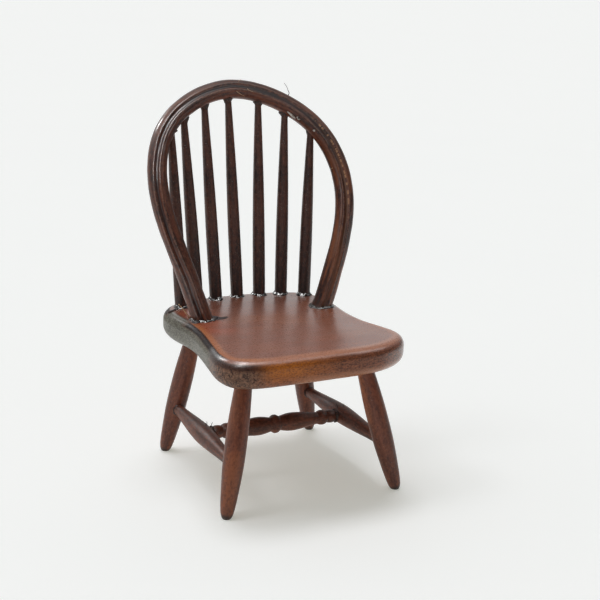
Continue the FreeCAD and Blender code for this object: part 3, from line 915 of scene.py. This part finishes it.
def add_floor():
    """A plain pale floor that runs far behind the chair."""
    size = FLOOR_HALF_SIZE
    corners = [(-size, -size, 0), (size, -size, 0), (size, size, 0), (-size, size, 0)]
    floor = make_object("floor", corners, [(0, 1, 2, 3)], smooth=False)
    tree = Tree("floor_paper")
    fleck = tree.noise(tree.coordinates("Object"), (900, 900, 900), 2.0)
    darker = tuple(0.99 * part for part in FLOOR_COLOUR)
    lighter = tuple(1.01 * part for part in FLOOR_COLOUR)
    tree.put("Base Color", tree.mix(fleck, darker, lighter))
    tree.put("Roughness", 0.9)
    tree.put("Specular IOR Level", 0.0)
    tree.put("Emission Color", (*FLOOR_GLOW_COLOUR, 1))
    tree.put("Emission Strength", FLOOR_GLOW)
    floor.data.materials.append(tree.owner)


def add_light(name, kind, direction, distance, long_way=Vector((1, 0, 0))):
    """A light that shines along a direction towards the chair's middle."""
    back = direction.normalized()
    up = back.cross(long_way).normalized()
    spot = (cad_low + cad_high) / 2 + back * distance
    return aimed(name, bpy.data.lights.new(name, kind), (up.cross(back), up, back), spot)


def add_lights():
    """Even white surroundings, soft lights from above and lights that only show in reflections."""
    world = Tree("studio", bpy.data.worlds, "Background")
    facing = world.facing(world.coordinates("Generated"), WORLD_BRIGHT_SIDE)
    world.put("Strength", world.span(facing, -0.6, 0.85, WORLD_DIM, WORLD_BRIGHT))
    world.put("Color", (1, 1, 1, 1))
    scene.world = world.owner
    for number, (direction, share, width) in enumerate(KEYS):
        key = add_light(f"overhead_light_{number + 1}", "SUN", direction, 0.5)
        key.data.energy = share * math.pi
        key.data.angle = math.radians(width)
    for number, (direction, long_way, size, power) in enumerate(GLINTS):
        glint = add_light(f"glint_light_{number + 1}", "AREA", direction, GLINT_DISTANCE, long_way)
        glint.data.shape = "RECTANGLE"
        glint.data.size = size[0] * MM
        glint.data.size_y = size[1] * MM
        glint.data.energy = power
        glint.visible_diffuse = False


# rings of dried glue: first seed; the stick's radius and how far the glue spreads and climbs, in mm
GLUE_RINGS = {
    "spindle_foot": (10, (1.36, 0.42, 0.50)),
    "spindle_top": (30, (0.66, 0.42, 0.85)),
    "bow_foot": (50, (2.14, 0.55, 0.42)),
    "side_stretcher": (60, (1.16, 0.20, 0.26)),
    "middle_stretcher_left": (70, (1.14, 0.30, 0.34)),
    "middle_stretcher_right": (70, (1.14, 0.45, 0.51)),
}
DROP_SEED, BOW_DROP_SEED = 80, 90
SPLINTER_RADIUS = 0.20 * MM
BURR_RADIUS = 0.15 * MM
# fibres thicker than this are dark, and thinner ones pale, in mm
DARK_FIBRE = 0.07
# where a foot's own direction is measured: this many stations from the bow's end
BOW_FOOT_STATIONS = 12


# ---- the making ----
add_camera()
add_floor()
add_lights()
scene.view_settings.view_transform = "Standard"

spindle_axes = {name: stick_axis(name, (0, 0, 1)) for name in SPINDLES}
leg_axes = {name: stick_axis(name, (0, 0, 1)) for name in LEGS}
stretcher_axes = {name: stick_axis(name, (0, 1, 0)) for name in SIDE_STRETCHERS}
middle_axis = stick_axis("stretcher_middle", (1, 0, 0))

for (name, axis), shade in zip(spindle_axes.items(), SPINDLE_SHADES):
    mid = tuple(shade * part for part in SPINDLE_LOOK["mid"])
    finish_stick(name, axis, {**SPINDLE_LOOK, "mid": mid})
for name, axis in leg_axes.items():
    finish_stick(name, axis, LEG_LOOK, WORN_AND_HIGHLIT_PLACES.get(name, ()), painted_foot_shade=True)
for name, axis in {**stretcher_axes, "stretcher_middle": middle_axis}.items():
    finish_stick(name, axis, STRETCHER_LOOK)

seat = make_seat()
add_piece(seat, seat_wood())
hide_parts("seat")

bow_line, bow_steps, bow_middle = bow_centre_line()
bow = make_bow(bow_line, bow_steps, bow_middle)
add_piece(bow, bow_wood())
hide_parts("bow")

glue = glue_finish()
pale_glue = scrap_finish("pale_glue_finish", (0.34, 0.29, 0.25), (0.70, 0.66, 0.60), 0.35)
bare_wood = scrap_finish("bare_wood_finish", (0.55, 0.30, 0.15), (0.88, 0.58, 0.34), 0.55)
dark_scrap = scrap_finish("dark_scrap_finish", (0.014, 0.006, 0.005), (0.075, 0.028, 0.017), 0.45)
grey_glue = scrap_finish("grey_glue_finish", (0.026, 0.018, 0.018), (0.085, 0.062, 0.060), 0.30)
up = Vector((0, 0, 1))
seat_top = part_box("seat")[1].z

# glue round the spindles' feet and tops
for number, (name, (start, end)) in enumerate(spindle_axes.items()):
    along = (end - start).normalized()
    foot = at_height((start, end), seat_top)
    ring = glue_ring("glue_" + name, "spindle_foot", number, foot, along, up)
    add_piece(ring, glue)
    tip = end - along * SPINDLE_TOP_DEPTH
    ring = glue_ring("glue_top_" + name, "spindle_top", number, tip, -along, -along)
    add_piece(ring, dark_scrap)

# glue round the bow's feet
bow_feet = {"left": bow_line[:BOW_FOOT_STATIONS], "right": bow_line[::-1][:BOW_FOOT_STATIONS]}
for number, (side, stations) in enumerate(bow_feet.items()):
    run = (Vector(stations[-1]), Vector(stations[0]))
    foot = at_height(run, seat_top)
    leaning = (run[0] - run[1]).normalized()
    add_piece(glue_ring("glue_bow_" + side, "bow_foot", number, foot, leaning, up), glue)

# glue where the stretchers enter the legs, and where the middle one enters the side ones
for side in ("left", "right"):
    axis = stretcher_axes["stretcher_" + side]
    for end in ("front", "rear"):
        spot, outward = entry_point(axis, leg_axes[f"leg_{end}_{side}"], LEG_RADIUS_AT_STRETCHERS)
        number = len(side) + len(end)
        ring = glue_ring(f"glue_stretcher_{side}_{end}", "side_stretcher", number, spot, outward, outward)
        add_piece(ring, dark_scrap)
    kind = "middle_stretcher_" + side
    spot, outward = entry_point(middle_axis, axis, STRETCHER_MIDDLE_RADIUS)
    ring = glue_ring("glue_stretcher_middle_" + side, kind, len(side), spot, outward, outward)
    add_piece(ring, dark_scrap)

# glue spread beside the bow's left foot: how far right and back of it, and the drop's size, in mm
bow_foot = at_height((Vector(bow_line[0]), Vector(bow_line[BOW_FOOT_STATIONS])), seat_top)
drops = {
    "glue_smear": ((2.0, -0.5), (1.7, 1.5, 0.50), grey_glue),
    "glue_smear_end": ((4.0, -1.0), (1.6, 0.70, 0.14), dark_scrap),
    "glue_bead_front": ((0.3, -2.3), (0.55, 0.40, 0.42), glue),
    "glue_bead_side": ((1.6, -1.9), (0.50, 0.45, 0.50), glue),
    "glue_bead_left": ((-1.9, -1.5), (1.25, 0.80, 0.36), grey_glue),
    "glue_behind": ((-4.0, 7.2), (1.1, 0.40, 0.22), dark_scrap),
    "glue_behind_edge": ((-2.4, 8.2), (0.9, 0.35, 0.20), glue),
}
for number, (name, ((right, back), size, finish)) in enumerate(drops.items()):
    centre = bow_foot + Vector((right, back, 0)) * MM
    drop = glue_drop(name, centre, Vector((1, 0.35, 0)), up, Vector(size) * MM, DROP_SEED + number)
    add_piece(drop, finish)

# a splinter lifted behind the bow's left foot
splinter_base = bow_foot + Vector((-2.2, 1.9, 0)) * MM
splinter_tip = bow_foot + Vector((-4.4, 2.4, 3.0)) * MM
splinter_bend = splinter_base.lerp(splinter_tip, 0.5) + Vector((0.05, 0, 0.08)) * MM
splinter = sliver("splinter", (splinter_base, splinter_bend, splinter_tip), SPLINTER_RADIUS)
add_piece(splinter, bare_wood)

# burrs where the middle stretcher was driven in: which end, and how far from it the tip is, in mm
burr_tips = (
    (0, (-0.42, -0.6, 2.6)), (0, (0.98, -0.9, 2.7)), (0, (0.28, 0.4, 2.5)),
    (1, (0.56, -0.6, 2.7)), (1, (-0.84, 0.3, 2.6)),
)
for number, (end, shift) in enumerate(burr_tips):
    tip = middle_axis[end] + Vector(shift) * MM
    begin = middle_axis[end] + Vector((shift[0] / 3.5, shift[1] * 0.4, 0.8)) * MM
    middle = begin.lerp(tip, 0.5) + Vector((0.12, 0, 0)) * MM
    burr = sliver(f"burr_{number + 1}", (begin, middle, tip), BURR_RADIUS)
    add_piece(burr, dark_scrap)

# a fibre and short hairs caught on the bow: their points as on_bow takes them, and their radius in mm
fibres = {
    "fibre_on_bow": (
        ((178, 82, 0.0), (178, 86, 0.5), (177, 88, 0.9), (176, 88, 1.4), (174, 86, 2.0)), 0.12),
    "hair_1": (((152, 60, 0.0), (152, 62, 0.3), (153, 62, 0.6)), 0.06),
    "hair_2": (((150, -5, 0.0), (153, -25, 0.15), (155, -30, 0.30)), 0.07),
    "hair_3": (((156, 12, 0.0), (157, 5, 0.15), (159, 0, 0.25)), 0.07),
    "hair_4": (((222, -70, 0.0), (222, -75, 0.35), (223, -78, 0.60)), 0.06),
}
for name, (places, thick) in fibres.items():
    hair = sliver(name, [on_bow(*place) for place in places], thick * MM)
    add_piece(hair, dark_scrap if thick > DARK_FIBRE else bare_wood)

# pale and dark glue near the tops of the last two spindles: where, which way it runs, size in mm
bow_drops = {
    "pale_glue_run": ((184, -54), (1, 0, -0.45), (1.10, 0.26, 0.30), pale_glue),
    "pale_glue_end": ((188, -48), (1, 0, -0.62), (0.42, 0.30, 0.20), pale_glue),
    "dark_glue_end": ((188, -44), (1, 0, -0.62), (0.26, 0.22, 0.30), glue),
    "pale_glue_dot": ((199, -44), (1, 0, -0.62), (0.25, 0.23, 0.22), pale_glue),
}
for number, (name, ((index, degrees), along, size, finish)) in enumerate(bow_drops.items()):
    spot = on_bow(index, degrees, 0.03)
    ground = (spot - Vector(bow_line[index])).normalized()
    drop = glue_drop(name, spot, Vector(along), ground, Vector(size) * MM, BOW_DROP_SEED + number)
    add_piece(drop, finish)
